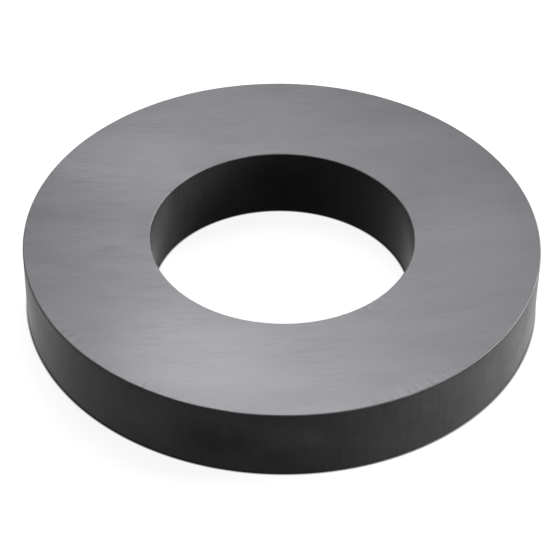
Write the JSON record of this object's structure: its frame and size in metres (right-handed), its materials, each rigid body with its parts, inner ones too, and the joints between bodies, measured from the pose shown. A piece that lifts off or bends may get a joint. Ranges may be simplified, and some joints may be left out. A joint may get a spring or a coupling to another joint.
{
  "type": "ring magnet",
  "caption": "Flat ring magnet of sintered hard ferrite, magnetised through its thickness, with a straight centre bore.",
  "frame": {"origin": "centre of the lower flat face, on the bore's axis", "axes": "+Z along the bore's axis, from the lower flat face to the upper one; X and Y are any two directions across the face"},
  "size_m": [0.102, 0.102, 0.015],
  "materials": {
    "ferrite": "sintered strontium ferrite: pole faces ground to matt steel grey, rim and bore left as fired, smooth near-black charcoal"
  },
  "bodies": {
    "root": {"ferrite_ring": "ferrite"}
  },
  "joints": []
}
